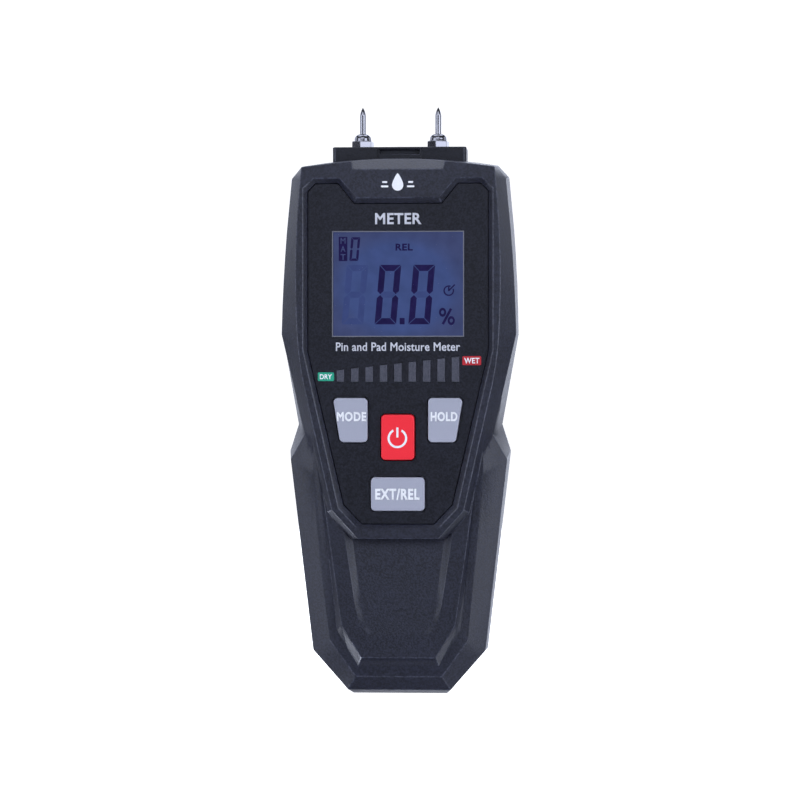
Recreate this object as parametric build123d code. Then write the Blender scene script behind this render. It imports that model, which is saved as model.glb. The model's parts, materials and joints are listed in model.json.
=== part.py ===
from build123d import *
import os

# Moisture meter. Millimetres. It stands on its flat lower end: +Z runs up to the pins, the face looks
# towards -Y and the origin is at the middle of the lower end. "Depth" is the distance behind the rim,
# which is the front-most plane of the face.

# overall
total_depth = 38.0
parting_depth = 14.0
edge_depth = 5.0
back_depth = 36.2
wall = 2.0

# outline, as right-hand corners from the top down: top, shoulder, widest, below widest, wedge side, wedge end
head_parting = [(29.8, 160.4), (33.2, 156.7), (36.0, 109.0), (32.6, 90.0), (26.3, 54.5), (18.0, 47.4)]
head_edge = [(29.4, 159.6), (32.4, 155.8), (35.5, 109.0), (31.1, 90.0), (22.7, 54.5), (16.3, 47.4)]
head_rim = [(29.1, 159.1), (29.4, 155.4), (30.3, 108.0), (27.4, 89.2), (19.9, 56.1), (12.0, 47.4)]
parting_crown, edge_crown, rim_crown = 162.8, 162.0, 161.3
parting_bow, edge_bow, rim_bow, rim_turn = (35.2, 133.0), (34.6, 130.0), (30.8, 131.0), (29.3, 98.8)

# corners of one end of the finger rest's sloping cut above the panel: x, depth, z
rest_end = [(13.3, -1.0, 157.5), (16.2, -1.0, 170.0), (16.2, 12.4, 169.6)]

# grip: its shoulder (hidden in the head), its corner, its lower corner and its foot
grip_parting = [(28.5, 90.1), (33.7, 73.7), (26.7, 13.8), (14.0, -0.4)]
grip_edge = [(25.0, 84.7), (32.7, 71.2), (26.1, 13.4), (15.6, 1.4)]
grip_ridge = [(24.9, 80.0), (25.7, 66.3), (20.8, 16.5), (13.0, 5.6)]
ridge_start_depth, ridge_fall, ridge_level = 2.6, 0.05, 66.0
grip_edge_drop = 2.6
silhouette = head_parting[:3] + [(31.1, 81.8)] + grip_parting[1:]
rear_draft, rear_top_drop = 2.2, 0.012

# raised plate of the grip, with the thumb scoop in it
plate_depth, plate_foot_depth = 2.6, 5.8
plate_top = [(23.5, 66.0), (17.2, 21.4), (11.2, 11.5)]
plate_foot = [(25.7, 66.0), (19.3, 19.0), (12.2, 8.4)]
scoop_mouth = [(16.4, 49.0), (13.2, 27.6), (11.6, 20.5), (8.6, 17.6)]
scoop_floor = [(13.9, 49.0), (11.1, 27.6), (9.8, 21.6), (7.4, 19.2)]
scoop_depth, scoop_slope = 1.7, 0.045

# face panel in its recess
panel_depth, panel_back, panel_gap = 1.2, 2.7, 0.28
panel = [
    (13.3, 148.0), (18.1, 154.0), (24.8, 154.0), (27.0, 151.8),
    (27.0, 103.7), (16.2, 57.7), (10.8, 52.0),
]
recess_mouth = [
    (12.4, 149.8), (17.5, 155.7), (25.4, 155.7), (28.6, 152.7),
    (28.6, 104.1), (17.9, 56.6), (12.0, 50.4),
]
floor_back = 4.7

# display
window_width, window_height, window_z = 39.7, 31.8, 124.0
glass_width, glass_height = 42.0, 34.0
glass_depth, glass_thickness = 3.65, 2.2
guide_thickness = 2.2

# level bars: nine in a row, each taller than the one before
bar_count, bar_pitch, bar_width = 9, 4.33, 2.3
bar_foot_z, first_bar_height, bar_rise = 94.6, 3.4, 0.48

# keys
key_front, key_clearance, key_travel, key_radius = 0.2, 0.35, 0.8, 1.3
mode_key = [(-19.6, 89.7), (-9.1, 89.7), (-9.1, 76.4), (-17.4, 76.4)]
hold_key = [(-x, z) for x, z in mode_key]
power_key = [(-5.0, 84.7), (5.0, 84.7), (5.0, 71.1), (-5.0, 71.1)]
ext_rel_key = [(-8.1, 65.9), (8.1, 65.9), (8.1, 55.8), (-8.1, 55.8)]
keys = {"mode": mode_key, "hold": hold_key, "power": power_key, "ext_rel": ext_rel_key}
flange_depth, flange_thickness, flange_rim = 4.9, 1.0, 0.8
stem_radius, stem_front, stem_back = 1.7, 6.2, 8.6
switch_front, switch_size = 6.8, 6.0

# main board
board_depth, board_thickness = 10.2, 1.6
board = [(23.7, 149.5), (23.7, 100.0), (16.5, 66.0), (16.5, 52.5)]
board_back = board_depth + board_thickness
board_screw_places = [(21.3, 147.0), (13.5, 57.0)]

# head block with the pins and the probe socket
block_half_width, block_front, block_rear = 20.3, 8.5, 20.5
block_low, block_top, block_depth = 150.6, 165.8, 14.5
flange_half_width, flange_low, flange_high = 23.0, 153.5, 156.0
notch_half_width, notch_low, notch_high, notch_depth = 6.1, 163.6, 165.0, 1.6
step_half_width, step_low, step_high, step_depth = 6.8, 161.5, 165.2, 0.4
pin_offset, pin_radius, shank_radius = 11.5, 0.95, 1.15
needle_base, needle_shoulder, needle_tip = 170.1, 175.8, 178.3
hex_across_flats, hex_height, hex_turn, dome_radius, dome_round = 6.0, 2.2, 19.5, 2.6, 1.6
socket_radius, thread_radius = 3.0, 2.0
jack_radius, jack_bore, jack_bore_length, jack_top = 3.0, 1.8, 13.0, 166.05

# battery and its bay
battery_half_width, battery_front, battery_rear = 13.25, 16.2, 33.7
battery_low, battery_high, stud_height = 9.0, 55.2, 2.2
bay_clearance, bay_wall, bay_top = 0.6, 1.2, 59.8

# battery door
door_half = [(17.5, 66.0), (17.5, 15.0), (14.0, 10.4), (14.0, 7.6)]
door_gap, door_thickness, hinge_z = 0.3, 2.0, 7.6
hinge_depth = back_depth - door_thickness / 2
trunnion_radius, trunnion_reach = 0.7, 1.2
door_screw_z = 62.2
ledge_half_width, ledge_depth, ledge_top = 19.5, 32.4, 68.0

# sensor pad on the back
pad_half_width, pad_low, pad_high, pad_seat = 21.0, 98.0, 148.0, 35.2

# shell screws
shell_screw_places = [(27.5, 147.0), (26.0, 66.0)]
screw_radius, screw_head_radius, screw_seat, screw_head = 1.25, 2.4, 16.6, 2.0

lead_radius = 0.65


def y_at(depth):
    return depth - total_depth / 2


def ridge_depth(z):
    return ridge_start_depth + (ridge_level - z) * ridge_fall


def grip_edge_depth(z):
    return ridge_depth(z) + grip_edge_drop


def scoop_depth_at(z):
    return plate_depth + scoop_depth - (scoop_mouth[0][1] - z) * scoop_slope


def place(x, z, depth):
    return (x, y_at(depth(z) if callable(depth) else depth), z)


def section(half, depth, crown=None, bows=None):
    """A symmetrical face, mirrored from its right half; bows makes the side after a corner an arc."""
    edges = []
    for side in (1, -1):
        corners = [place(side * x, z, depth) for x, z in half]
        for number in range(len(half) - 1):
            ends = corners[number], corners[number + 1]
            if bows and number in bows:
                x, z = bows[number]
                edges.append(Edge.make_three_point_arc(ends[0], place(side * x, z, depth), ends[1]))
            else:
                edges.append(Edge.make_line(*ends))
    top = [place(side * half[0][0], half[0][1], depth) for side in (-1, 1)]
    low = [place(side * half[-1][0], half[-1][1], depth) for side in (-1, 1)]
    edges.append(Edge.make_line(*low))
    if crown:
        edges.append(Edge.make_three_point_arc(top[0], place(0, crown, depth), top[1]))
    else:
        edges.append(Edge.make_line(*top))
    return Face(Wire(edges))


def flat(points, depth, radius=0):
    face = Face(Wire.make_polygon([(x, y_at(depth), z) for x, z in points]))
    return face.fillet_2d(radius, face.vertices()) if radius else face


def push(face, length):
    return Solid.extrude(face, (0, length, 0))


def plate(points, near, far, radius=0):
    return push(flat(points, near, radius), far - near)


def grown(face, amount):
    return offset(face, amount, kind=Kind.INTERSECTION).faces()[0]


def grown_plate(points, near, far, amount, radius=0):
    face = grown(flat(points, near), amount)
    face = face.fillet_2d(radius, face.vertices()) if radius else face
    return push(face, far - near)


def mirrored_half(half):
    return half + [(-x, z) for x, z in reversed(half)]


def slab(half_width, near, far, low, high, x=0):
    centre = Pos(x, y_at((near + far) / 2), (low + high) / 2)
    return centre * Box(2 * half_width, far - near, high - low)


def disc(x, z, radius, near, far):
    return Pos(x, y_at((near + far) / 2), z) * Rot(90, 0, 0) * Cylinder(radius, far - near)


def post(x, depth, radius, low, high):
    return Pos(x, y_at(depth), (low + high) / 2) * Cylinder(radius, high - low)


def both_sides(places):
    return [(side * x, z) for x, z in places for side in (-1, 1)]


def window_slab(width, height, near, far):
    return slab(width / 2, near, far, window_z - height / 2, window_z + height / 2)


# ---- shells ----

def head_bulk():
    parting = section(head_parting, parting_depth, parting_crown, {1: parting_bow})
    edge = section(head_edge, edge_depth, edge_crown, {1: edge_bow})
    rim = section(head_rim, 0, rim_crown, {1: rim_bow, 2: rim_turn})
    return loft([parting, edge], ruled=True) + loft([edge, rim], ruled=True)


def grip_bulk():
    parting = section(grip_parting, parting_depth)
    edge = section(grip_edge, grip_edge_depth)
    ridge = section(grip_ridge, ridge_depth)
    return loft([parting, edge], ruled=True) + loft([edge, ridge], ruled=True)


def raised_plate():
    return loft([section(plate_foot, plate_foot_depth), section(plate_top, plate_depth)], ruled=True)


def scoop():
    return loft([section(scoop_mouth, plate_depth - 0.01), section(scoop_floor, scoop_depth_at)], ruled=True)


def finger_rest():
    ends = []
    for side in (-1, 1):
        points = [(side * x, y_at(d), z) for x, d, z in rest_end]
        ends.append(Face(Wire.make_polygon(points)))
    return loft(ends, ruled=True)


def panel_recess():
    mouth = section(recess_mouth, 0)
    seat = grown(flat(mirrored_half(panel), panel_depth), panel_gap)
    bevel = loft([mouth, seat], ruled=True)
    return bevel + push(seat, panel_back - panel_depth) + push(mouth, -1.0)


def front_cavity():
    head = push(grown(section(head_edge, floor_back), -wall), parting_depth - floor_back + 1)
    grip = push(grown(section(grip_edge, 9.0), -wall - 0.4), parting_depth - 8.0)
    return head + grip


def block_opening(near, far):
    return slab(block_half_width + 0.1, near, far, block_low - 1, block_top + 5)


def bar_shape(number, grow=0.0):
    centre = (number - (bar_count - 1) / 2) * bar_pitch
    left, right = centre - bar_width / 2 - grow, centre + bar_width / 2 + grow
    top = bar_foot_z + first_bar_height + number * bar_rise
    tilt = bar_rise * bar_width / bar_pitch
    low = bar_foot_z - grow
    return [(left, low), (left, top + grow), (right, top + tilt + grow), (right, low)]


def face_openings(near, far, window):
    openings = [window_slab(window[0], window[1], near, far)]
    corner = key_radius + key_clearance
    openings += [grown_plate(points, near, far, key_clearance, corner) for points in keys.values()]
    openings += [plate(bar_shape(number, 0.1), near, far) for number in range(bar_count)]
    return openings


def below_base():
    return slab(40, -5, total_depth + 5, -5, 0)


def front_shell():
    shell = head_bulk() + grip_bulk() + raised_plate() - below_base()
    shell -= [scoop(), finger_rest(), panel_recess(), front_cavity()]
    shell -= face_openings(panel_back - 1, floor_back + 1, (window_width - 0.4, window_height - 0.4))
    shell -= window_slab(glass_width + 0.3, glass_height + 0.3, glass_depth - 0.05, floor_back + 1)
    shell += [disc(x, z, 2.9, floor_back - 0.5, parting_depth) for x, z in both_sides(shell_screw_places)]
    shell += [disc(x, z, 2.2, floor_back - 0.5, board_depth) for x, z in both_sides(board_screw_places)]
    shell -= [disc(x, z, screw_radius + 0.02, 6.5, 30) for x, z in both_sides(shell_screw_places)]
    shell -= [disc(x, z, 0.82, 5.5, 30) for x, z in both_sides(board_screw_places)]
    shell -= block_opening(block_front - 0.1, 30)
    shell -= slab(flange_half_width + 0.2, block_front + 1.0, 30, flange_low - 0.2, flange_high + 0.2)
    return shell


def rear_outline():
    return [(x - rear_draft, z * (1 - rear_top_drop)) for x, z in silhouette]


def rear_cavity():
    inner = grown(section(rear_outline(), back_depth - wall), -wall)
    return push(inner, -(back_depth - parting_depth))


def battery_bay():
    outer = battery_half_width + bay_clearance + bay_wall
    low, high = battery_low - bay_clearance - bay_wall, bay_top + bay_wall
    return slab(outer, parting_depth + 0.4, back_depth - 1, low, high)


def bay_space():
    reach = battery_half_width + bay_clearance
    return slab(reach, parting_depth + 0.4 + bay_wall, back_depth + 1, battery_low - bay_clearance, bay_top)


def rear_shell():
    parting = section(silhouette, parting_depth, parting_crown, {1: parting_bow})
    bow = (parting_bow[0] - rear_draft, parting_bow[1] * (1 - rear_top_drop))
    back = section(rear_outline(), back_depth, parting_crown - 2.0, {1: bow})
    shell = loft([parting, back], ruled=True)
    shell = fillet(shell.faces().sort_by(Axis.Y)[-1].edges(), 1.8) - below_base()
    whole = shell
    shell -= rear_cavity()
    inside = [disc(x, z, 3.6, parting_depth, back_depth) for x, z in both_sides(shell_screw_places)]
    inside += [battery_bay(), slab(ledge_half_width, ledge_depth, back_depth - 1, 4.0, ledge_top)]
    inside.append(slab(3.0, 27.0, back_depth - 1, bay_top, door_screw_z + 3.0))
    shell += [whole & piece for piece in inside]
    shell -= [bay_space(), slab(5.2, 14.0, 26.4, bay_top - 0.5, bay_top + bay_wall + 0.5)]
    door_seat = back_depth - door_thickness - 0.2
    shell -= grown_plate(mirrored_half(door_half), door_seat, back_depth + 1, door_gap)
    shell -= disc_along_x(hinge_z, hinge_depth, door_thickness / 2 + door_gap, 14.0 + door_gap)
    shell -= disc_along_x(hinge_z, hinge_depth, trunnion_radius + 0.08, 14.0 + trunnion_reach + 0.2)
    shell -= disc(0, door_screw_z, 1.9, 26.0, back_depth)
    shell -= slab(pad_half_width + 0.1, pad_seat, back_depth + 1, pad_low - 0.1, pad_high + 0.1)
    shell -= slab(18.5, 30.0, back_depth, pad_low + 3, pad_high - 3)
    for x, z in both_sides(shell_screw_places):
        shell -= disc(x, z, screw_radius + 0.25, 10, back_depth)
        shell -= disc(x, z, screw_head_radius + 0.3, screw_seat, back_depth + 1)
    shell -= block_opening(0, block_rear + 0.1)
    shell -= slab(flange_half_width + 0.2, 0, block_rear - 1.0, flange_low - 0.2, flange_high + 0.2)
    return shell


def disc_along_x(z, depth, radius, half_length):
    return Pos(0, y_at(depth), z) * Rot(0, 90, 0) * Cylinder(radius, 2 * half_length)


# ---- face ----

def face_panel():
    sheet = plate(mirrored_half(panel), panel_depth, panel_back - 0.02)
    window = (window_width + 0.2, window_height + 0.2)
    return Part() + sheet - face_openings(panel_depth - 1, panel_back + 1, window)


def lcd_lens():
    lens = window_slab(window_width, window_height, panel_depth + 0.05, panel_back - 0.03)
    return chamfer(lens.faces().sort_by(Axis.Y)[0].edges(), 0.2)


def bar_lenses():
    return [plate(bar_shape(number), panel_depth - 0.05, floor_back + 0.6) for number in range(bar_count)]


def key_cap(points):
    cap = Part() + plate(points, key_front, flange_depth, key_radius)
    cap = fillet(cap.faces().sort_by(Axis.Y)[0].edges(), 0.35)
    cap += grown_plate(points, flange_depth, flange_depth + flange_thickness, flange_rim)
    x, z = key_centre(points)
    return cap + disc(x, z, stem_radius - 0.1, flange_depth + 0.5, stem_front)


def key_centre(points):
    return sum(x for x, z in points) / len(points), sum(z for x, z in points) / len(points)


def key_stem(points):
    x, z = key_centre(points)
    return disc(x, z, stem_radius, stem_front, stem_back)


def tact_switches():
    switches = []
    for points in keys.values():
        x, z = key_centre(points)
        half = switch_size / 2
        body = slab(half, switch_front, board_depth, z - half, z + half, x)
        switches.append(body - disc(x, z, stem_radius + 0.05, switch_front - 1, stem_back + key_travel + 0.2))
    return switches


# ---- display and board ----

def lcd_glass():
    return window_slab(glass_width, glass_height, glass_depth, glass_depth + glass_thickness)


def light_guide():
    near = glass_depth + glass_thickness + 0.05
    return window_slab(glass_width, glass_height - 6, near, near + guide_thickness)


def zebra_strips():
    near = glass_depth + glass_thickness
    rows = [window_z + side * (glass_height / 2 - 1.5) for side in (-1, 1)]
    return [slab(glass_width / 2 - 1, near, board_depth, z - 1, z + 1) for z in rows]


def lcd_frame():
    outer = window_slab(glass_width + 3.6, glass_height + 3.6, floor_back + 0.05, board_depth)
    return outer - window_slab(glass_width + 0.2, glass_height + 0.2, 0, 30)


def main_board():
    sheet = Part() + plate(mirrored_half(board), board_depth, board_back)
    return sheet - [disc(x, z, 1.0, 5, 20) for x, z in both_sides(board_screw_places)]


def board_screws():
    screws = []
    for x, z in both_sides(board_screw_places):
        shank = disc(x, z, 0.8, 6.2, board_back)
        head = disc(x, z, 1.8, board_back, board_back + 1.2)
        screws.append(shank + head - cross(x, z, 0.9, board_back + 1.2))
    return screws


def cross(x, z, reach, depth):
    bars = slab(reach, depth - 0.7, depth + 1, z - 0.25, z + 0.25, x)
    return bars + slab(0.25, depth - 0.7, depth + 1, z - reach, z + reach, x)


def led_row():
    centres = [(number - (bar_count - 1) / 2) * bar_pitch for number in range(bar_count)]
    return [slab(0.8, board_depth - 0.8, board_depth, 96.4, 98.0, x) for x in centres]


def controller_chip():
    body = slab(6.0, board_back, board_back + 1.4, 118, 130)
    return chamfer(body.faces().sort_by(Axis.Y)[-1].edges(), 0.3)


def board_parts():
    low_parts = [slab(1.6, board_back, board_back + 1.1, 136, 137.6, x) for x in (-14, -9, -4, 4, 9, 14)]
    tall_parts = [disc(x, z, 2.5, board_back, board_back + 5.0) for x, z in ((-15, 108), (15, 112))]
    return low_parts + tall_parts + [slab(5.0, board_back, board_back + 3.5, 84, 87, 8)]


def buzzer():
    body = disc(-9, 82, 6.0, board_back, board_back + 4.5)
    return body - disc(-9, 82, 1.0, board_back + 3, board_back + 6)


# ---- head block ----

def head_block():
    body = slab(block_half_width, block_front, block_rear, block_low, block_top)
    body = chamfer(body.edges().filter_by(Axis.Z), 0.7)
    body = fillet(body.faces().sort_by(Axis.Z)[-1].edges(), 0.4)
    body += slab(flange_half_width, block_front + 1.2, block_rear - 1.2, flange_low, flange_high)
    for x, radius in ((-pin_offset, socket_radius), (0, jack_radius), (pin_offset, socket_radius)):
        body -= post(x, block_depth, radius + 0.03, block_low - 1, block_top + 1)
    body -= slab(notch_half_width, block_front - 1, block_front + notch_depth, notch_low, notch_high)
    return body - slab(step_half_width, block_front - 1, block_front + step_depth, step_low, step_high)


def probe_pin(side):
    x = side * pin_offset
    needle = post(x, block_depth, pin_radius, needle_base, needle_shoulder)
    needle += post(x, block_depth, shank_radius, 157.5, needle_base)
    needle += post(x, block_depth, 1.45, 156.2, 157.5)
    shoulder, middle, tip = (pin_radius, 0, needle_shoulder), (0.62, 0, 177.1), (0, 0, needle_tip)
    centre = (0, 0, needle_shoulder)
    curve = Edge.make_three_point_arc(shoulder, middle, tip)
    base = Edge.make_line(centre, shoulder)
    axis = Edge.make_line(tip, centre)
    point = revolve(Face(Wire([base, curve, axis])), Axis.Z, 360)
    return needle + Pos(x, y_at(block_depth), 0) * point


def pin_nut(side):
    x = side * pin_offset
    hexagon = RegularPolygon(hex_across_flats / 2, 6, major_radius=False, rotation=hex_turn)
    nut = Pos(x, y_at(block_depth), block_top) * extrude(hexagon, hex_height)
    nut = chamfer(nut.edges().filter_by(GeomType.LINE).group_by(Axis.Z)[-1], 0.25)
    dome = post(x, block_depth, dome_radius, block_top + hex_height, needle_base)
    dome = fillet(dome.edges().sort_by(Axis.Z)[-1], dome_round)
    nut += [dome, post(x, block_depth, thread_radius, 159.0, block_top)]
    return nut - post(x, block_depth, shank_radius + 0.04, 150, 180)


def pin_socket(side):
    x = side * pin_offset
    body = post(x, block_depth, socket_radius, 151.6, block_top - 0.1)
    body -= post(x, block_depth, thread_radius + 0.05, 158.4, 170)
    body -= post(x, block_depth, 1.5, 156.15, 170)
    return body + post(x, block_depth, 0.75, 150.4, 151.6)


def probe_jack():
    body = post(0, block_depth, jack_radius, 151.0, jack_top)
    body = chamfer(body.edges().sort_by(Axis.Z)[-1], 0.1)
    return body - post(0, block_depth, jack_bore, jack_top - jack_bore_length, jack_top + 1)


# ---- back ----

def sensor_pad():
    pad = slab(pad_half_width, pad_seat, total_depth, pad_low, pad_high)
    pad = fillet(pad.edges().filter_by(Axis.Y), 3.0)
    return fillet(pad.faces().sort_by(Axis.Y)[-1].edges(), 1.2)


def sensor_plate():
    return slab(17.5, pad_seat - 0.9, pad_seat, pad_low + 4, pad_high - 4)


def battery():
    body = slab(battery_half_width, battery_front, battery_rear, battery_low, battery_high)
    return fillet(body.edges().filter_by(Axis.Z), 2.0)


def battery_middle():
    return (battery_front + battery_rear) / 2


def battery_studs():
    high = battery_high + stud_height
    return [post(x, battery_middle(), 2.8, battery_high, high) for x in (-6.35, 6.35)]


def battery_snap():
    body = slab(12.5, battery_middle() - 5.5, battery_middle() + 5.5, battery_high + 0.3, battery_high + 3.6)
    body = fillet(body.edges().filter_by(Axis.Z), 1.5)
    high = battery_high + stud_height + 0.05
    return body - [post(x, battery_middle(), 2.85, battery_high, high) for x in (-6.35, 6.35)]


def battery_door():
    body = Part() + plate(mirrored_half(door_half), back_depth - door_thickness, back_depth)
    body += disc_along_x(hinge_z, hinge_depth, door_thickness / 2, 14.0)
    body += disc_along_x(hinge_z, hinge_depth, trunnion_radius, 14.0 + trunnion_reach)
    for number in range(5):
        low = 46.0 + number * 2.4
        body -= slab(8.0, back_depth - 0.6, back_depth + 1, low, low + 1.2)
    body -= disc(0, door_screw_z, 1.5, 30, 40)
    return body - disc(0, door_screw_z, 2.6, back_depth - 1.3, back_depth + 1)


def door_screw():
    body = disc(0, door_screw_z, 1.3, 29.5, back_depth - 1.3)
    body += disc(0, door_screw_z, 2.4, back_depth - 1.3, back_depth - 0.1)
    return body - cross(0, door_screw_z, 1.3, back_depth - 0.1)


def shell_screws():
    screws = []
    for x, z in both_sides(shell_screw_places):
        shank = disc(x, z, screw_radius, 7.0, screw_seat)
        head = disc(x, z, screw_head_radius, screw_seat, screw_seat + screw_head)
        screws.append(shank + head - cross(x, z, 1.3, screw_seat + screw_head))
    return screws


# ---- leads ----

def lead(points, bend):
    path = FilletPolyline(*[(x, y_at(depth), z) for x, depth, z in points], radius=bend)
    start = Plane(path @ 0, z_dir=path % 0)
    return sweep(start * Circle(lead_radius), path=path)


def pin_lead(side):
    x = side * pin_offset
    return lead([(x, block_depth, 150.4), (x, block_depth, 146.0), (x, board_back, 146.0)], 1.9)


def battery_lead(side):
    x, depth, low = side * 4.0, battery_middle(), battery_high + 3.6
    return lead([(x, depth, low), (x, depth, 70.0), (x, board_back, 70.0)], 5.0)


def sensor_lead():
    return lead([(6, pad_seat - 0.9, 108), (6, 24, 108), (6, 24, 100), (6, board_back, 100)], 3.5)


def save(name, shape):
    pieces = list(shape) if isinstance(shape, list) else [shape]
    solids = [solid for piece in pieces for solid in piece.solids()]
    whole = Compound(children=solids) if len(solids) > 1 else solids[0]
    export_step(whole, f"parts/{name}.step")


def main():
    os.makedirs("parts", exist_ok=True)
    save("front_shell", front_shell())
    save("rear_shell", rear_shell())
    save("face_panel", face_panel())
    save("lcd_lens", lcd_lens())
    save("lcd_glass", lcd_glass())
    save("light_guide", light_guide())
    save("zebra_strips", zebra_strips())
    save("lcd_frame", lcd_frame())
    save("bar_lenses", bar_lenses())
    save("led_row", led_row())
    save("main_board", main_board())
    save("board_screws", board_screws())
    save("controller_chip", controller_chip())
    save("board_parts", board_parts())
    save("buzzer", buzzer())
    save("tact_switches", tact_switches())
    for name, points in keys.items():
        save(f"{name}_key", key_cap(points))
        save(f"{name}_stem", key_stem(points))
    save("head_block", head_block())
    save("probe_jack", probe_jack())
    for name, side in (("left", -1), ("right", 1)):
        save(f"pin_{name}", probe_pin(side))
        save(f"pin_nut_{name}", pin_nut(side))
        save(f"pin_socket_{name}", pin_socket(side))
        save(f"pin_lead_{name}", pin_lead(side))
    save("sensor_pad", sensor_pad())
    save("sensor_plate", sensor_plate())
    save("sensor_lead", sensor_lead())
    save("battery", battery())
    save("battery_studs", battery_studs())
    save("battery_snap", battery_snap())
    save("battery_lead_red", battery_lead(1))
    save("battery_lead_black", battery_lead(-1))
    save("battery_door", battery_door())
    save("door_screw", door_screw())
    save("shell_screws", shell_screws())


main()
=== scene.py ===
import bpy
import json
import math
from mathutils import Matrix, Vector

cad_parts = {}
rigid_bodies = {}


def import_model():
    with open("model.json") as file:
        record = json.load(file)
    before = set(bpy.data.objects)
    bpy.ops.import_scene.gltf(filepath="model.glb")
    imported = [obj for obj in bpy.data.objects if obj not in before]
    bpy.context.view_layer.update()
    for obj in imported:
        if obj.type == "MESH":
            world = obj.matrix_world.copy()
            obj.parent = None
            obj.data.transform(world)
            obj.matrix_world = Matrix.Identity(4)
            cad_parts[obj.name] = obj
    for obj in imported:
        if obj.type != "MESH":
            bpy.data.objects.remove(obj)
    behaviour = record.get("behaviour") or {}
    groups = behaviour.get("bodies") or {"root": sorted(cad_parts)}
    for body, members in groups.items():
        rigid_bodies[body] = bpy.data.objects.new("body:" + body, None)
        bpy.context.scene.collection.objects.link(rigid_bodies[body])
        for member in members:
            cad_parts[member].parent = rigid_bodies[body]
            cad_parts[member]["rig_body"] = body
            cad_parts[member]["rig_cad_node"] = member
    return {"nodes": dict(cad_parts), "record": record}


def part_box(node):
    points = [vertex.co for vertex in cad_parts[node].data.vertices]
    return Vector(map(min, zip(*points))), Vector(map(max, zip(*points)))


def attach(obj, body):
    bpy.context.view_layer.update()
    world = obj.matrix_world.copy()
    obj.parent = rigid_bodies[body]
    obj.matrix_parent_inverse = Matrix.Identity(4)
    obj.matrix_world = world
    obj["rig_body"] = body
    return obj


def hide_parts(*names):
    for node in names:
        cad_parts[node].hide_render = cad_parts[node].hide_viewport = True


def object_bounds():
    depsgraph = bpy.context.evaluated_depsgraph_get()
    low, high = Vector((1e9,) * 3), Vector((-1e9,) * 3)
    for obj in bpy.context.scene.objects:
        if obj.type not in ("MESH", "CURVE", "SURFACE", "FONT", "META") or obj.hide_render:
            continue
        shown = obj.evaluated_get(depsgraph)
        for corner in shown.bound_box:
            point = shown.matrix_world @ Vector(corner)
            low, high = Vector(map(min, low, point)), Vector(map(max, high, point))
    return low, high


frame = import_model()
cadLow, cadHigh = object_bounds()
nodes = frame["nodes"]
mm = 0.001
scene = bpy.context.scene
print("frame loaded:", len(nodes), "nodes")

# the camera stands in front, a few degrees round towards +x; distance in metres, yaw in degrees
camera = {
    "distance": 0.9, "yaw": 3.5, "aimX": 0.7 * mm, "aimZ": 89.1 * mm,
    "lens": 135.0, "filmWidth": 36.0, "nearest": 0.05, "farthest": 50.0,
}


def addCamera():
    data = bpy.data.cameras.new("camera")
    data.lens = camera["lens"]
    data.sensor_width = camera["filmWidth"]
    data.clip_start, data.clip_end = camera["nearest"], camera["farthest"]
    eye = bpy.data.objects.new("camera", data)
    scene.collection.objects.link(eye)
    yaw = math.radians(camera["yaw"])
    eye.location = (
        camera["aimX"] + math.sin(yaw) * camera["distance"],
        cadLow.y - math.cos(yaw) * camera["distance"],
        camera["aimZ"],
    )
    eye.rotation_euler = (math.pi / 2, 0, yaw)
    scene.camera = eye


def selectNone():
    if bpy.context.object and bpy.context.object.mode != "OBJECT":
        bpy.ops.object.mode_set(mode="OBJECT")
    bpy.ops.object.select_all(action="DESELECT")


def selectOnly(piece):
    selectNone()
    piece.select_set(True)
    bpy.context.view_layer.objects.active = piece


def selectBy(piece, kind, test):  # leaves the piece in edit mode, with only what passes the test selected
    bpy.ops.object.mode_set(mode="EDIT")
    bpy.ops.mesh.select_mode(type=kind)
    bpy.ops.mesh.select_all(action="DESELECT")
    bpy.ops.object.mode_set(mode="OBJECT")
    mesh = piece.data
    if kind == "VERT":
        for vertex in mesh.vertices:
            vertex.select = test(vertex.co)
    elif kind == "EDGE":
        for edge in mesh.edges:
            edge.select = test(*[mesh.vertices[i].co for i in edge.vertices])
    else:
        for face in mesh.polygons:
            face.select = test(face.center, face.normal)
    bpy.ops.object.mode_set(mode="EDIT")


studio = {
    "radius": 4.0,
    "wallHeight": 5.0,
    "sides": 96,
    "curve": 1.6,
    "curveSteps": 16,
    "paper": (0.93, 0.93, 0.93),
    "glow": 1.0,
    "worldStrength": 0.10,
    "lampTint": (0.80, 0.85, 1.0),
}


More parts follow.
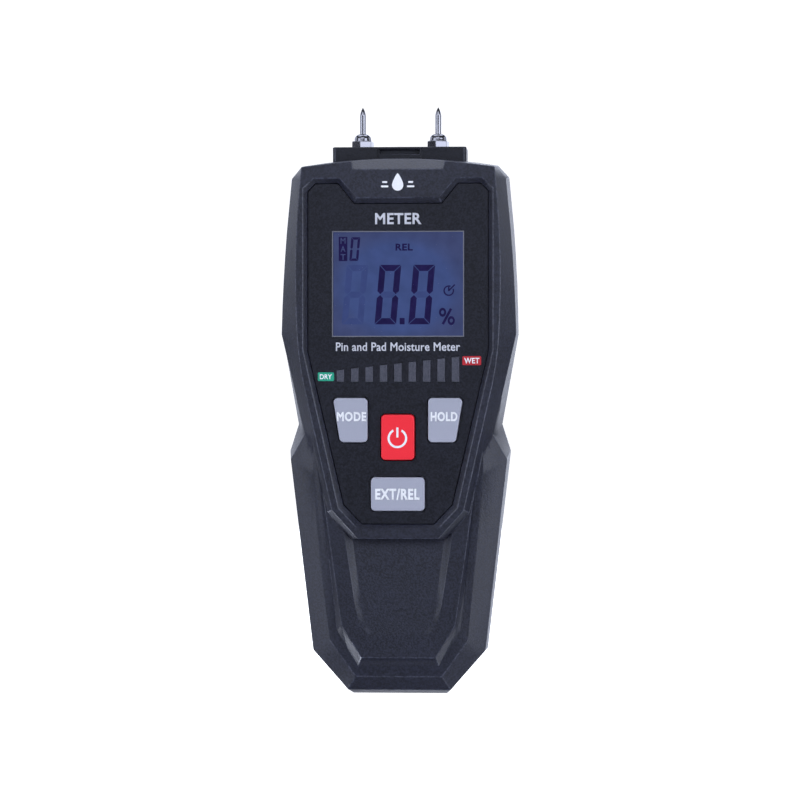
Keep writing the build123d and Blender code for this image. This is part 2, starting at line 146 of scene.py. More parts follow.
def addBackdrop():
    near = 0.1  # how close to a rim counts as on it
    selectNone()
    bpy.ops.mesh.primitive_circle_add(vertices=studio["sides"], radius=studio["radius"], fill_type="NGON")
    paperBowl = bpy.context.object
    paperBowl.name = "paper_ground"
    selectBy(paperBowl, "EDGE", lambda a, b: True)
    bpy.ops.mesh.extrude_region_move(TRANSFORM_OT_translate={"value": (0, 0, studio["wallHeight"])})
    selectBy(paperBowl, "FACE", lambda middle, normal: middle.z > studio["wallHeight"] - near)
    bpy.ops.mesh.delete(type="ONLY_FACE")
    selectBy(paperBowl, "EDGE", lambda a, b: max(a.z, b.z) < near)
    bpy.ops.mesh.bevel(offset=studio["curve"], segments=studio["curveSteps"], affect="EDGES")
    bpy.ops.mesh.select_all(action="SELECT")
    bpy.ops.mesh.normals_make_consistent(inside=True)
    bpy.ops.object.mode_set(mode="OBJECT")
    bpy.ops.object.shade_smooth()
    paper = bpy.data.materials.new("paper")
    paper.use_nodes = True
    shader = paper.node_tree.nodes["Principled BSDF"]
    shader.inputs["Base Color"].default_value = (*studio["paper"], 1)
    shader.inputs["Roughness"].default_value = 0.9
    shader.inputs["Emission Color"].default_value = (1, 1, 1, 1)
    shader.inputs["Emission Strength"].default_value = studio["glow"]
    paperBowl.data.materials.append(paper)
    # the paper is only a ground: it throws no light back on the dark plastic
    paperBowl.visible_diffuse = False
    paperBowl.visible_glossy = False
    paperBowl.visible_transmission = False
    paperBowl.visible_shadow = False


# each lamp aims at the middle of the meter; places and sizes in metres, power in watts
softBoxes = {
    "left": {"at": (-0.85, 0.28, 0.34), "size": (0.6, 0.65), "power": 1.9},
    "right": {"at": (0.88, 0.28, 0.34), "size": (0.6, 0.65), "power": 1.8},
    "lowLeft": {"at": (-0.695, 0.054, -0.49), "size": (0.20, 0.20), "power": 3.6},
    "lowRight": {"at": (0.695, 0.054, -0.49), "size": (0.20, 0.20), "power": 1.4},
    "below": {"at": (0.30, -0.60, -0.90), "size": (1.0, 0.6), "power": 2.2},
    "top": {"at": (-0.05, 0.20, 1.05), "size": (1.2, 0.7), "power": 8.0},
    "topFront": {"at": (-0.10, -1.30, 0.85), "size": (1.2, 0.8), "power": 7.5},
    "frontLeft": {"at": (-1.0, -0.90, 0.12), "size": (0.8, 1.2), "power": 9.0},
    "frontRight": {"at": (0.95, -1.00, 0.12), "size": (0.8, 1.2), "power": 12.5},
    "rimRight": {"at": (0.35, 1.05, 0.10), "size": (1.0, 1.6), "power": 11.5},
    "rimLeft": {"at": (-0.45, 1.0, 0.10), "size": (1.0, 1.6), "power": 8.0},
}


def addLights():
    world = bpy.data.worlds.new("studio")
    scene.world = world
    world.use_nodes = True
    sky = world.node_tree.nodes["Background"]
    sky.inputs["Color"].default_value = (*studio["lampTint"], 1)
    sky.inputs["Strength"].default_value = studio["worldStrength"]
    middle = Vector((0, 0, cadHigh.z / 2))
    for name, box in softBoxes.items():
        data = bpy.data.lights.new("softbox_" + name, "AREA")
        data.shape = "RECTANGLE"
        data.size, data.size_y = box["size"]
        data.energy = box["power"]
        data.color = studio["lampTint"]
        lamp = bpy.data.objects.new("softbox_" + name, data)
        scene.collection.objects.link(lamp)
        lamp.visible_camera = False
        lamp.location = box["at"]
        lamp.rotation_euler = (middle - lamp.location).to_track_quat("-Z", "Y").to_euler()


addCamera()
addBackdrop()
addLights()
scene.view_settings.view_transform = "Standard"
print("camera, backdrop and lights ready")


def newFinish(name):
    finish = bpy.data.materials.new(name)
    finish.use_nodes = True
    tree = finish.node_tree
    return finish, tree, tree.nodes["Principled BSDF"]


def addNode(tree, kind, **settings):
    node = tree.nodes.new(kind)
    for key, value in settings.items():
        setattr(node, key, value)
    return node


def objectCoords(tree):
    return addNode(tree, "ShaderNodeTexCoord").outputs["Object"]


def noiseField(tree, vector, size, detail=2.0, rough=0.5):
    noise = addNode(tree, "ShaderNodeTexNoise")
    noise.inputs["Scale"].default_value = 1.0 / size
    noise.inputs["Detail"].default_value = detail
    noise.inputs["Roughness"].default_value = rough
    tree.links.new(vector, noise.inputs["Vector"])
    return noise.outputs["Fac"]


def spread(tree, value, low, high, start=0.3, end=0.7):
    span = addNode(tree, "ShaderNodeMapRange")
    span.inputs["From Min"].default_value = start
    span.inputs["From Max"].default_value = end
    span.inputs["To Min"].default_value = low
    span.inputs["To Max"].default_value = high
    tree.links.new(value, span.inputs["Value"])
    return span.outputs["Result"]


def addBump(tree, shader, height, strength, distance):
    bump = addNode(tree, "ShaderNodeBump")
    bump.inputs["Strength"].default_value = strength
    bump.inputs["Distance"].default_value = distance
    tree.links.new(height, bump.inputs["Height"])
    tree.links.new(bump.outputs["Normal"], shader.inputs["Normal"])


def twoTone(tree, socket, factor, dark, light):
    mix = addNode(tree, "ShaderNodeMix", data_type="RGBA")
    mix.inputs[6].default_value = (*dark, 1)
    mix.inputs[7].default_value = (*light, 1)
    tree.links.new(factor, mix.inputs[0])
    tree.links.new(mix.outputs[2], socket)


# fine grain over faint broad clouds; cloud in mm
mould = {"cloud": 14.0, "fineShare": 0.75, "broadShare": 0.25, "contrast": (0.42, 0.58), "roughSpan": 0.06}
polish = {"dull": 0.92, "smoothest": 0.8, "roughest": 1.3}


def mouldedPlastic(name, dark, light, rough, grain, bump, specular=0.5):
    finish, tree, shader = newFinish(name)
    where = objectCoords(tree)
    fine = noiseField(tree, where, grain * mm, 3.0, 0.6)
    broad = noiseField(tree, where, mould["cloud"] * mm)
    blend = addNode(tree, "ShaderNodeMath", operation="ADD", use_clamp=True)
    tree.links.new(spread(tree, fine, 0, mould["fineShare"], *mould["contrast"]), blend.inputs[0])
    tree.links.new(spread(tree, broad, 0, mould["broadShare"]), blend.inputs[1])
    twoTone(tree, shader.inputs["Base Color"], blend.outputs[0], dark, light)
    roughness = spread(tree, fine, rough - mould["roughSpan"], rough + mould["roughSpan"])
    tree.links.new(roughness, shader.inputs["Roughness"])
    shader.inputs["Specular IOR Level"].default_value = specular
    addBump(tree, shader, fine, 1.0, bump * mm)
    return finish


def polishedMetal(name, colour, rough, grain=0.15, bump=0.0008):
    finish, tree, shader = newFinish(name)
    shader.inputs["Metallic"].default_value = 1.0
    fine = noiseField(tree, objectCoords(tree), grain * mm)
    dull = [part * polish["dull"] for part in colour]
    twoTone(tree, shader.inputs["Base Color"], spread(tree, fine, 0, 1), dull, colour)
    roughness = spread(tree, fine, rough * polish["smoothest"], rough * polish["roughest"])
    tree.links.new(roughness, shader.inputs["Roughness"])
    addBump(tree, shader, fine, 0.5, bump * mm)
    return finish


# the grain mixes the dark and the light tone; grain and bump in mm
plastics = {
    "shellFinish": {
        "dark": (0.0036, 0.0042, 0.0094), "light": (0.0160, 0.0180, 0.0345),
        "rough": 0.44, "grain": 0.55, "bump": 0.08,
    },
    # paler, glossier tone for the bevel faces: painted highlight lines along the housing's edges
    "paintedEdgeHighlightFinish": {
        "dark": (0.012, 0.0135, 0.022), "light": (0.048, 0.052, 0.078),
        "rough": 0.36, "grain": 0.8, "bump": 0.04,
    },
    "headFinish": {
        "dark": (0.0030, 0.0036, 0.0065), "light": (0.0085, 0.0095, 0.0165),
        "rough": 0.48, "grain": 0.55, "bump": 0.06, "specular": 0.35,
    },
    "panelFinish": {
        "dark": (0.0030, 0.0034, 0.0062), "light": (0.0120, 0.0130, 0.0215),
        "rough": 0.45, "grain": 0.5, "bump": 0.05, "specular": 0.3,
    },
    "greyKeyFinish": {
        "dark": (0.365, 0.375, 0.44), "light": (0.405, 0.415, 0.485),
        "rough": 0.4, "grain": 0.2, "bump": 0.008,
    },
    "redKeyFinish": {
        "dark": (0.92, 0.026, 0.040), "light": (0.98, 0.034, 0.050),
        "rough": 0.4, "grain": 0.2, "bump": 0.008, "specular": 0.3,
    },
    "padFinish": {
        "dark": (0.02, 0.02, 0.024), "light": (0.026, 0.026, 0.03),
        "rough": 0.7, "grain": 0.5, "bump": 0.04,
    },
    "smokedBar": {
        "dark": (0.048, 0.050, 0.066), "light": (0.075, 0.077, 0.100),
        "rough": 0.4, "grain": 0.5, "bump": 0.004,
    },
    "boardFinish": {
        "dark": (0.01, 0.09, 0.03), "light": (0.015, 0.12, 0.04),
        "rough": 0.3, "grain": 1.5, "bump": 0.02,
    },
    "blackFinish": {
        "dark": (0.012, 0.012, 0.012), "light": (0.02, 0.02, 0.02),
        "rough": 0.5, "grain": 0.3, "bump": 0.01,
    },
    "whiteFinish": {
        "dark": (0.62, 0.62, 0.60), "light": (0.70, 0.70, 0.68),
        "rough": 0.5, "grain": 0.3, "bump": 0.01,
    },
    "stemFinish": {
        "dark": (0.35, 0.03, 0.03), "light": (0.42, 0.04, 0.04),
        "rough": 0.5, "grain": 0.3, "bump": 0.01,
    },
    "redLeadFinish": {
        "dark": (0.45, 0.02, 0.02), "light": (0.55, 0.03, 0.03),
        "rough": 0.4, "grain": 0.3, "bump": 0.005,
    },
    "titleInk": {
        "dark": (0.56, 0.57, 0.62), "light": (0.64, 0.65, 0.70),
        "rough": 0.5, "grain": 0.2, "bump": 0.002,
    },
    "whiteInk": {
        "dark": (0.86, 0.87, 0.88), "light": (0.94, 0.945, 0.95),
        "rough": 0.5, "grain": 0.2, "bump": 0.002,
    },
    "frameInk": {
        "dark": (0.13, 0.135, 0.16), "light": (0.17, 0.175, 0.21),
        "rough": 0.4, "grain": 0.2, "bump": 0.002,
    },
    "greenInk": {
        "dark": (0.008, 0.32, 0.19), "light": (0.012, 0.37, 0.22),
        "rough": 0.5, "grain": 0.2, "bump": 0.002,
    },
    "redInk": {
        "dark": (0.46, 0.008, 0.016), "light": (0.52, 0.011, 0.022),
        "rough": 0.5, "grain": 0.2, "bump": 0.002,
    },
}
metals = {
    "steelFinish": {"colour": (0.30, 0.30, 0.32), "rough": 0.18},
    "nickelFinish": {"colour": (0.21, 0.21, 0.23), "rough": 0.18},
    "brassFinish": {"colour": (0.80, 0.60, 0.30), "rough": 0.3},
    "screwFinish": {"colour": (0.35, 0.35, 0.37), "rough": 0.35},
    "batteryFinish": {"colour": (0.10, 0.105, 0.12), "rough": 0.32, "grain": 0.4, "bump": 0.003},
    "copperInk": {"colour": (0.62, 0.33, 0.16), "rough": 0.35, "grain": 0.4, "bump": 0.003},
}
finishes = {name: mouldedPlastic(name, **look) for name, look in plastics.items()}
finishes.update({name: polishedMetal(name, **look) for name, look in metals.items()})

wearers = {
    "shellFinish": ["front_shell", "rear_shell", "battery_door"],
    "headFinish": ["head_block"],
    "panelFinish": ["face_panel"],
    "greyKeyFinish": ["mode_key", "hold_key", "ext_rel_key"],
    "redKeyFinish": ["power_key"],
    "padFinish": ["sensor_pad"],
    "smokedBar": ["bar_lenses"],
    "steelFinish": ["pin_left", "pin_right"],
    "nickelFinish": ["pin_nut_left", "pin_nut_right", "battery_studs"],
    "brassFinish": ["pin_socket_left", "pin_socket_right", "sensor_plate"],
    "screwFinish": ["shell_screws", "board_screws", "door_screw"],
    "batteryFinish": ["battery"],
    "boardFinish": ["main_board"],
    "blackFinish": [
        "probe_jack", "controller_chip", "board_parts", "buzzer", "tact_switches",
        "battery_snap", "zebra_strips", "battery_lead_black",
    ],
    "whiteFinish": [
        "lcd_frame", "light_guide", "led_row", "pin_lead_left", "pin_lead_right", "sensor_lead",
    ],
    "redLeadFinish": ["battery_lead_red"],
    "stemFinish": ["mode_stem", "hold_stem", "power_stem", "ext_rel_stem"],
}
finishOf = {node: finishes[name] for name, group in wearers.items() for node in group}


def giveFinish(piece, finish):
    piece.data.materials.clear()
    piece.data.materials.append(finish)


for name, finish in finishOf.items():
    giveFinish(nodes[name], finish)
print("finishes given to", len(finishOf), "nodes")


def faceOn(x, depth, z):  # a place in mm, its depth counted back from the very front
    return Vector((x * mm, cadLow.y + depth * mm, z * mm))


turnUpright = Matrix.Rotation(math.pi / 2, 4, "X")  # a flat drawing's y becomes the object's z


def placeMesh(piece, matrix):
    piece.data.transform(matrix)
    if matrix.determinant() < 0:
        piece.data.flip_normals()
    piece.data.update()


def joined(pieces, name):
    selectNone()
    for piece in pieces:
        piece.select_set(True)
    bpy.context.view_layer.objects.active = pieces[0]
    if len(pieces) > 1:
        bpy.ops.object.join()
    whole = bpy.context.object
    whole.name = name
    return whole


def applied(piece, kind, **settings):
    selectOnly(piece)
    modifier = piece.modifiers.new(kind.lower(), kind)
    for key, value in settings.items():
        setattr(modifier, key, value)
    bpy.ops.object.modifier_apply(modifier=modifier.name)


# lengths in mm, angles between faces in degrees; look is how far off the edge the free side is tested
edgeRules = {
    "segments": 2, "sharp": 24.0, "shortest": 1.6, "look": 0.02,
    "smooth": 32.0, "merge": 0.001, "flat": 1.5,
}
# width of each softened edge in mm, and whether its bevel is given the paler edge finish, a painted
# highlight
softEdges = {
    "front_shell": (0.24, True), "rear_shell": (0.28, True),
    "head_block": (0.20, True), "battery_door": (0.22, True),
    "mode_key": (0, False), "hold_key": (0, False), "power_key": (0, False), "ext_rel_key": (0, False),
    "pin_nut_left": (0.12, False), "pin_nut_right": (0.12, False),
    "pin_left": (0, False), "pin_right": (0, False),
    "sensor_pad": (0.25, False),
}


def bodyOf(nodeName):
    for body, members in frame["record"]["behaviour"]["bodies"].items():
        if nodeName in members:
            return body


def weighOuterEdges(piece):  # marks the long corners that stand free, for the bevel
    bpy.context.view_layer.update()
    mesh = piece.data
    sides = {}
    for face in mesh.polygons:
        for key in face.edge_keys:
            sides.setdefault(key, []).append(face)
    weights = mesh.attributes.new("bevel_weight_edge", "FLOAT", "EDGE")
    for edge in mesh.edges:
        faces = sides.get(edge.key, [])
        start, end = (mesh.vertices[i].co for i in edge.vertices)
        if len(faces) != 2 or (end - start).length < edgeRules["shortest"] * mm:
            continue
        one, other = faces
        nearlyFlat = one.normal.angle(other.normal) < math.radians(edgeRules["sharp"])
        hollow = (other.center - one.center).dot(one.normal) > 0
        if nearlyFlat or hollow:
            continue
        outward = (one.normal + other.normal).normalized()
        middle = (start + end) / 2 + outward * edgeRules["look"] * mm
        if not piece.ray_cast(middle, outward)[0]:
            weights.data[edge.index].value = 1.0


def softCopy(nodeName, width, paintedHighlight):
    piece = nodes[nodeName].copy()
    piece.data = nodes[nodeName].data.copy()
    piece.parent = None
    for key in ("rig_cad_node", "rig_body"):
        if key in piece:
            del piece[key]
    scene.collection.objects.link(piece)
    piece.name = nodeName + "_shown"
    selectOnly(piece)
    bpy.ops.object.mode_set(mode="EDIT")
    bpy.ops.mesh.select_all(action="SELECT")
    bpy.ops.mesh.remove_doubles(threshold=edgeRules["merge"] * mm)
    bpy.ops.mesh.dissolve_limited(angle_limit=math.radians(edgeRules["flat"]))
    bpy.ops.object.mode_set(mode="OBJECT")
    giveFinish(piece, finishOf[nodeName])
    # the bevel faces take the paler finish: a painted highlight along each free edge
    if paintedHighlight:
        piece.data.materials.append(finishes["paintedEdgeHighlightFinish"])
    if width:
        weighOuterEdges(piece)
        applied(
            piece, "BEVEL", width=width * mm, segments=edgeRules["segments"], limit_method="WEIGHT",
            use_clamp_overlap=False, material=1 if paintedHighlight else -1,
        )
    selectOnly(piece)
    bpy.ops.object.shade_smooth_by_angle(angle=math.radians(edgeRules["smooth"]))
    applied(piece, "WEIGHTED_NORMAL", keep_sharp=True, weight=80)
    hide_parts(nodeName)
    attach(piece, bodyOf(nodeName))


for name, (width, paintedHighlight) in softEdges.items():
    softCopy(name, width, paintedHighlight)
print("housing and keys softened")

# what shows on the display lies just in front of the liquid crystal cell; mm
display = {"imageDepth": 3.60, "letterLift": 0.05, "shift": -0.22, "slant": math.tan(math.radians(5.0))}
cell = {
    "ground": (0.003, 0.003, 0.006), "rough": 0.6,
    "edgeTint": (0.23, 0.30, 0.74), "middleTint": (0.23, 0.36, 1.0), "fade": 0.12,
    "glow": 0.208, "vary": 0.10, "cloud": 5.0, "middleZ": 123.0, "reach": (24.0, 19.5),
}
inks = {
    "lcdInk": {"tint": (0.22, 0.16, 1.0), "strength": 0.058, "vary": 0.15},
    "ghostInk": {"tint": (0.22, 0.33, 1.0), "strength": 0.185, "vary": 0.06},
}
lens = {"bend": 1.05, "haze": 0.02, "cloud": 6.0}


def glowing(name, tint, strength, vary, cloud=3.0):
    finish, tree, shader = newFinish(name)
    shader.inputs["Base Color"].default_value = (*cell["ground"], 1)
    shader.inputs["Roughness"].default_value = cell["rough"]
    shader.inputs["Specular IOR Level"].default_value = 0.0
    shader.inputs["Emission Color"].default_value = (*tint, 1)
    patches = noiseField(tree, objectCoords(tree), cloud * mm)
    strengths = spread(tree, patches, strength * (1 - vary), strength * (1 + vary))
    tree.links.new(strengths, shader.inputs["Emission Strength"])
    return finish


def backlitCell():  # lit blue, duller towards its edges
    finish = glowing("backlitCell", cell["middleTint"], cell["glow"], cell["vary"], cell["cloud"])
    tree = finish.node_tree
    centre = addNode(tree, "ShaderNodeMapping", vector_type="TEXTURE")
    centre.inputs["Location"].default_value = (display["shift"] * mm, 0, cell["middleZ"] * mm)
    centre.inputs["Scale"].default_value = (cell["reach"][0] * mm, 1, cell["reach"][1] * mm)
    tree.links.new(objectCoords(tree), centre.inputs["Vector"])
    falloff = addNode(tree, "ShaderNodeTexGradient", gradient_type="QUADRATIC_SPHERE")
    tree.links.new(centre.outputs["Vector"], falloff.inputs["Vector"])
    fade = spread(tree, falloff.outputs["Fac"], 0, 1, 0.0, cell["fade"])
    tint = tree.nodes["Principled BSDF"].inputs["Emission Color"]
    twoTone(tree, tint, fade, cell["edgeTint"], cell["middleTint"])
    return finish


def clearLens():
    finish, tree, shader = newFinish("clearLens")
    shader.inputs["Base Color"].default_value = (1.0, 1.0, 1.0, 1)
    shader.inputs["Transmission Weight"].default_value = 1.0
    shader.inputs["IOR"].default_value = lens["bend"]
    haze = noiseField(tree, objectCoords(tree), lens["cloud"] * mm)
    tree.links.new(spread(tree, haze, 0.0, lens["haze"]), shader.inputs["Roughness"])
    return finish


finishes.update({name: glowing(name, **look) for name, look in inks.items()})
finishes["backlitCell"] = backlitCell()
giveFinish(nodes["lcd_glass"], finishes["backlitCell"])
giveFinish(nodes["lcd_lens"], clearLens())

# lift and thickness in mm; letterSpace is how much room a bolder stroke asks for
prints = {
    "lift": 0.04, "thickness": 0.03, "cornerSteps": 5,
    "letterSteps": 6, "letterSpace": 2.5, "merge": 1e-7,
}


def thickened(piece):  # lettering already has its thickness
    depths = [v.co.y for v in piece.data.vertices]
    if max(depths) - min(depths) < edgeRules["merge"] * mm:
        applied(piece, "SOLIDIFY", thickness=prints["thickness"] * mm, offset=0)


def flatPlate(width, height, corner=0.0):
    selectNone()
    bpy.ops.mesh.primitive_plane_add(size=1)
    plate = bpy.context.object
    bpy.ops.object.mode_set(mode="EDIT")
    bpy.ops.mesh.select_all(action="SELECT")
    bpy.ops.transform.resize(value=(width * mm, height * mm, 1))
    if corner:
        bpy.ops.mesh.bevel(offset=corner * mm, segments=prints["cornerSteps"], affect="VERTICES")
    bpy.ops.object.mode_set(mode="OBJECT")
    return plate


def ringPlate(outer, inner, steps, openFrom=None, openTo=None):  # open between two angles in degrees
    selectNone()
    bpy.ops.mesh.primitive_circle_add(vertices=steps, radius=outer * mm, fill_type="NOTHING")
    ring = bpy.context.object
    bpy.ops.object.mode_set(mode="EDIT")
    bpy.ops.mesh.select_all(action="SELECT")
    bpy.ops.mesh.extrude_edges_move()
    bpy.ops.transform.resize(value=(inner / outer, inner / outer, 1), center_override=(0, 0, 0))
    bpy.ops.object.mode_set(mode="OBJECT")
    if openFrom is not None:
        selectBy(ring, "FACE", lambda co, normal: openFrom < math.degrees(math.atan2(co.y, co.x)) < openTo)
        bpy.ops.mesh.delete(type="FACE")
        bpy.ops.object.mode_set(mode="OBJECT")
    for face in ring.data.polygons:
        if face.normal.z < 0:
            face.flip()
    return ring


def shifted(piece, x, y, lean=0.0):  # moved, then turned about the sign's middle by lean, in degrees
    turn = Matrix.Rotation(math.radians(lean), 4, "Z")
    piece.data.transform(turn @ Matrix.Translation((x * mm, y * mm, 0)))
    return piece


def lettering(words, width, height, bold):
    selectNone()
    bpy.ops.object.text_add()
    line = bpy.context.object
    line.data.body = words
    line.data.size = 1.0
    line.data.resolution_u = prints["letterSteps"]
    line.data.bevel_depth = bold  # fattens the strokes on both sides
    line.data.bevel_resolution = 0
    line.data.space_character = 1.0 + bold * prints["letterSpace"]
    bpy.ops.object.convert(target="MESH")
    line = bpy.context.object
    xs = [v.co.x for v in line.data.vertices]
    ys = [v.co.y for v in line.data.vertices]
    wide, tall = max(xs) - min(xs), max(ys) - min(ys)
    middle = Matrix.Translation((-(max(xs) + min(xs)) / 2, -(max(ys) + min(ys)) / 2, 0))
    thin = prints["thickness"] * mm / 2 / bold
    line.data.transform(Matrix.Diagonal((width * mm / wide, height * mm / tall, thin, 1)) @ middle)
    bpy.ops.object.mode_set(mode="EDIT")
    bpy.ops.mesh.select_all(action="SELECT")
    bpy.ops.mesh.remove_doubles(threshold=prints["merge"])
    bpy.ops.object.mode_set(mode="OBJECT")
    return line


def segmentBar(length, stroke, pointed):  # its outer side is +y; an end is mitred, or pointed
    nearEnd, tip = length * mm * 0.45, stroke * mm * 0.49
    bar = flatPlate(length, stroke)
    for side in (-1, 1):
        if side not in pointed:
            selectBy(bar, "VERT", lambda co: co.x * side > 0 and co.y < 0)
            bpy.ops.transform.translate(value=(-side * stroke * mm, 0, 0))
            bpy.ops.object.mode_set(mode="OBJECT")
    for side in pointed:
        selectBy(bar, "VERT", lambda co: co.x * side > nearEnd)
        bpy.ops.mesh.bevel(offset=tip, segments=1, affect="VERTICES")
        bpy.ops.object.mode_set(mode="OBJECT")
    return bar


mainDigit = {
    "width": 6.5, "height": 17.9, "stroke": 1.85, "gap": 0.14,
    "z": 120.85, "first": -2.95, "second": 7.25,
}
smallDigit = {"width": 2.7, "height": 7.1, "stroke": 0.72, "gap": 0.07, "x": -12.95, "z": 134.6}
ghostX = -12.9  # the unlit digit on the left


def digit(letters, look):
    width, height, stroke = look["width"], look["height"], look["stroke"]
    across, up = width / 2 - stroke / 2, height / 2 - stroke / 2
    places = {  # middle, which ends are pointed, and how the bar's own x and y lie on the digit
        "a": ((0, up), (), (1, 0, 0, 1)),
        "b": ((across, height / 4), (1,), (0, 1, -1, 0)),
        "c": ((across, -height / 4), (1,), (0, 1, 1, 0)),
        "d": ((0, -up), (), (-1, 0, 0, -1)),
        "e": ((-across, -height / 4), (1,), (0, -1, 1, 0)),
        "f": ((-across, height / 4), (1,), (0, -1, -1, 0)),
        "g": ((0, 0), (-1, 1), (1, 0, 0, 1)),
    }
    lengths = {"a": width, "d": width, "g": width - stroke}
    bars = []
    for letter in letters:
        middle, pointed, turn = places[letter]
        bar = segmentBar(lengths.get(letter, height / 2) - 2 * look["gap"], stroke, pointed)
        matrix = Matrix.Translation((middle[0] * mm, middle[1] * mm, 0))
        matrix[0][0], matrix[0][1], matrix[1][0], matrix[1][1] = turn
        placeMesh(bar, matrix)
        bars.append(bar)
    return joined(bars, "digit")


def onDisplay(piece, name, x, z, finish="lcdInk", slant=0.0, lift=0.0):
    shear = Matrix.Identity(4)
    shear[0][1] = slant
    spot = faceOn(x + display["shift"], display["imageDepth"] - lift, z)
    placeMesh(piece, Matrix.Translation(spot) @ turnUpright @ shear)
    thickened(piece)
    piece.name = name
    giveFinish(piece, finishes[finish])
    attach(piece, "meter")


def addDigits():
    slant = display["slant"]
    for which in ("first", "second"):
        x, z = mainDigit[which], mainDigit["z"]
        onDisplay(digit("abcdef", mainDigit), "digit_" + which, x, z, "lcdInk", slant)
        onDisplay(digit("g", mainDigit), "digit_ghost_" + which, x, z, "ghostInk", slant)
    onDisplay(digit("abcdefg", mainDigit), "digit_ghost_left", ghostX, mainDigit["z"], "ghostInk", slant)
    x, z = smallDigit["x"], smallDigit["z"]
    onDisplay(digit("abcdef", smallDigit), "material_digit", x, z, "lcdInk", slant)


point = {"size": (1.5, 1.9, 0.15), "x": 1.35, "z": 112.85}
relative = {"size": (5.2, 2.1, 0.035), "x": 1.95, "z": 135.15}
tab = {"size": (2.6, 7.3, 0.15), "x": -16.5, "z": 134.65, "letter": (1.5, 1.75, 0.015), "pitch": 2.45}
percent = {
    "ring": (1.35, 0.6, 32), "narrow": 0.8, "ringX": 1.3, "ringZ": 1.25,
    "bar": (0.75, 5.3), "lean": -28.0, "x": 14.85, "z": 114.25,
}
timer = {
    "ring": (1.6, 1.2, 32), "open": (28.0, 62.0), "shortHand": (0.4, 1.3), "shortRise": 0.5,
    "longHand": (0.4, 2.6), "longRise": 1.3, "lean": -45.0, "x": 15.4, "z": 122.0,
}


def addPercentSign():
    strokes = []
    for side in (-1, 1):
        ring = ringPlate(*percent["ring"])
        spot = Matrix.Translation((side * percent["ringX"] * mm, -side * percent["ringZ"] * mm, 0))
        ring.data.transform(spot @ Matrix.Diagonal((percent["narrow"], 1, 1, 1)))
        strokes.append(ring)
    strokes.append(shifted(flatPlate(*percent["bar"]), 0, 0, percent["lean"]))
    onDisplay(joined(strokes, "percent"), "percent_sign", percent["x"], percent["z"])


def addTimerSign():
    ring = ringPlate(*timer["ring"], *timer["open"])
    short = shifted(flatPlate(*timer["shortHand"]), 0, timer["shortRise"])
    long = shifted(flatPlate(*timer["longHand"]), 0, timer["longRise"], timer["lean"])
    onDisplay(joined([ring, short, long], "clock"), "timer_sign", timer["x"], timer["z"])


def addMaterialTab():
    onDisplay(flatPlate(*tab["size"]), "material_tab", tab["x"], tab["z"])
    for number, letter in enumerate("MAT"):
        z = tab["z"] + (1 - number) * tab["pitch"]
        mark = lettering(letter, *tab["letter"])
        onDisplay(mark, "material_letter_" + letter, tab["x"], z, "backlitCell", 0.0, display["letterLift"])


addDigits()
onDisplay(flatPlate(*point["size"]), "decimal_point", point["x"], point["z"])
onDisplay(lettering("REL", *relative["size"]), "relative_sign", relative["x"], relative["z"])
addPercentSign()
addTimerSign()
addMaterialTab()
print("display lit")

# how far back each printed surface lies, in mm; the tags carry words of their own
surfaces = {"rim": 0.0, "panel": 1.2, "tag": 1.15, "window": 1.25, "key": 0.2}


def printed(piece, name, x, z, surface, ink="whiteInk", body="meter"):
    spot = faceOn(x, surfaces[surface] - prints["lift"], z)
    placeMesh(piece, Matrix.Translation(spot) @ turnUpright)
    thickened(piece)
    piece.name = name
    giveFinish(piece, finishes[ink])
    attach(piece, body)


drop = {"width": 3.4, "height": 5.2, "z": 153.6, "waist": 0.55, "curve": 1.4, "steps": 48}
waves = {"long": 2.2, "shorter": 0.7, "thick": 0.55, "corner": 0.2, "x": 3.9, "z": 153.2, "pitch": 1.3}


def addDroplet():
    selectNone()
    half = drop["width"] * mm / 2
    bpy.ops.mesh.primitive_circle_add(vertices=drop["steps"], radius=half, fill_type="NGON")
    droplet = bpy.context.object
    stretch = (drop["height"] - drop["width"] / 2) / (drop["width"] / 2)
    for vertex in droplet.data.vertices:
        if vertex.co.y > 0:
            up = vertex.co.y / half
            vertex.co.x *= 1 - up ** drop["curve"] * drop["waist"]
            vertex.co.y *= stretch
    printed(droplet, "drop_sign", 0, drop["z"], "rim")


def addWaves():
    for side, hand in ((-1, "left"), (1, "right")):
        for number in range(2):
            wave = flatPlate(waves["long"] - number * waves["shorter"], waves["thick"], waves["corner"])
            z = waves["z"] + number * waves["pitch"]
            printed(wave, f"drop_wave_{number}_{hand}", side * waves["x"], z, "rim")


# size is width and height, then how bold the strokes are
words = {
    "title": {
        "words": "METER", "size": (14.0, 3.4, 0.03), "at": (0.1, 143.6),
        "surface": "panel", "ink": "titleInk",
    },
    "caption": {
        "words": "Pin and Pad Moisture Meter", "size": (37.4, 2.6, 0.016), "at": (0, 105.1),
        "surface": "panel", "ink": "titleInk",
    },
    "dry_word": {"words": "DRY", "size": (3.7, 1.5, 0.03), "at": (-21.7, 96.1), "surface": "tag"},
    "wet_word": {"words": "WET", "size": (4.6, 1.7, 0.03), "at": (22.2, 100.9), "surface": "tag"},
    "mode_word": {
        "words": "MODE", "size": (8.9, 2.9, 0.05), "at": (-13.9, 84.1),
        "surface": "key", "body": "mode_button",
    },
    "hold_word": {
        "words": "HOLD", "size": (8.1, 2.9, 0.05), "at": (13.9, 84.1),
        "surface": "key", "body": "hold_button",
    },
    "ext_rel_word": {
        "words": "EXT/REL", "size": (13.4, 3.5, 0.05), "at": (-0.1, 60.8),
        "surface": "key", "body": "ext_rel_button",
    },
}
tags = {
    "dry_tag": {"size": (4.9, 2.6, 0.35), "at": (-21.7, 96.1), "ink": "greenInk"},
    "wet_tag": {"size": (5.6, 2.7, 0.35), "at": (22.2, 100.9), "ink": "redInk"},
}
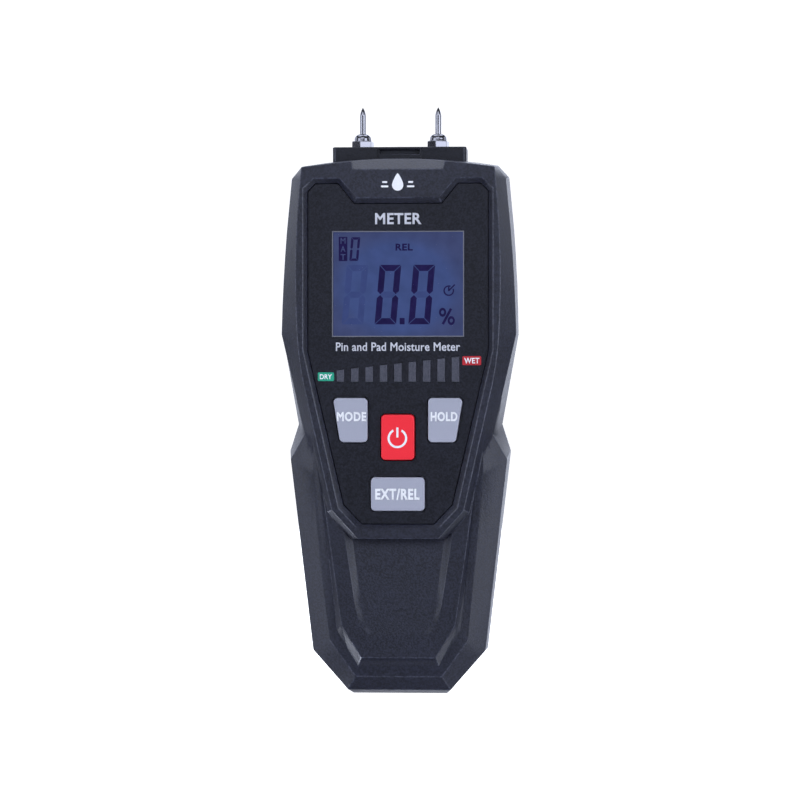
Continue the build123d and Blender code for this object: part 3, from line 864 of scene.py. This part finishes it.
windowRim = {"width": 0.28, "z": 124.0}
powerSign = {
    "ring": (2.95, 2.3, 64), "open": (62.0, 118.0), "bar": (0.62, 3.0, 0.1),
    "rise": 1.75, "at": (-0.1, 77.6),
}


def addWords():
    for name, word in words.items():
        line = lettering(word["words"], *word["size"])
        ink, body = word.get("ink", "whiteInk"), word.get("body", "meter")
        printed(line, name, *word["at"], word["surface"], ink, body)


def addTags():
    for name, tag in tags.items():
        printed(flatPlate(*tag["size"]), name, *tag["at"], "panel", tag["ink"])


def addWindowRim():
    low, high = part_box("lcd_lens")
    rim = flatPlate((high.x - low.x) / mm, (high.z - low.z) / mm)
    selectBy(rim, "FACE", lambda middle, normal: True)
    bpy.ops.mesh.inset(thickness=windowRim["width"] * mm, depth=0)
    bpy.ops.mesh.delete(type="FACE")
    bpy.ops.object.mode_set(mode="OBJECT")
    printed(rim, "window_rim", 0, windowRim["z"], "window", "frameInk")


def addPowerSign():
    ring = ringPlate(*powerSign["ring"], *powerSign["open"])
    bar = shifted(flatPlate(*powerSign["bar"]), 0, powerSign["rise"])
    printed(joined([ring, bar], "power"), "power_sign", *powerSign["at"], "key", "whiteInk", "power_button")


# heights are counted from the battery's middle
batteryMarks = {
    "volts": (11.0, 6.5, 0.05), "voltsZ": -4,
    "signs": (14.0, 2.6, 0.05), "signsZ": 17,
    "band": 5, "bandShare": 0.98, "bandZ": -17,
}


def addBatteryMarks():  # they read from behind
    low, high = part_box("battery")
    turnBack = Matrix.Rotation(math.pi, 4, "Z") @ turnUpright
    volts = lettering("9 V", *batteryMarks["volts"])
    signs = lettering("+   \u2212", *batteryMarks["signs"])
    band = flatPlate((high.x - low.x) / mm * batteryMarks["bandShare"], batteryMarks["band"])
    marks = {
        "battery_voltage": (volts, batteryMarks["voltsZ"], "whiteInk"),
        "battery_signs": (signs, batteryMarks["signsZ"], "whiteInk"),
        "battery_band": (band, batteryMarks["bandZ"], "copperInk"),
    }
    for name, (piece, z, ink) in marks.items():
        spot = Vector((0, high.y + prints["lift"] * mm, (low.z + high.z) / 2 + z * mm))
        placeMesh(piece, Matrix.Translation(spot) @ turnBack)
        thickened(piece)
        piece.name = name
        giveFinish(piece, finishes[ink])
        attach(piece, "meter")


addDroplet()
addWaves()
addWords()
addTags()
addWindowRim()
addPowerSign()
addBatteryMarks()
print("prints added")
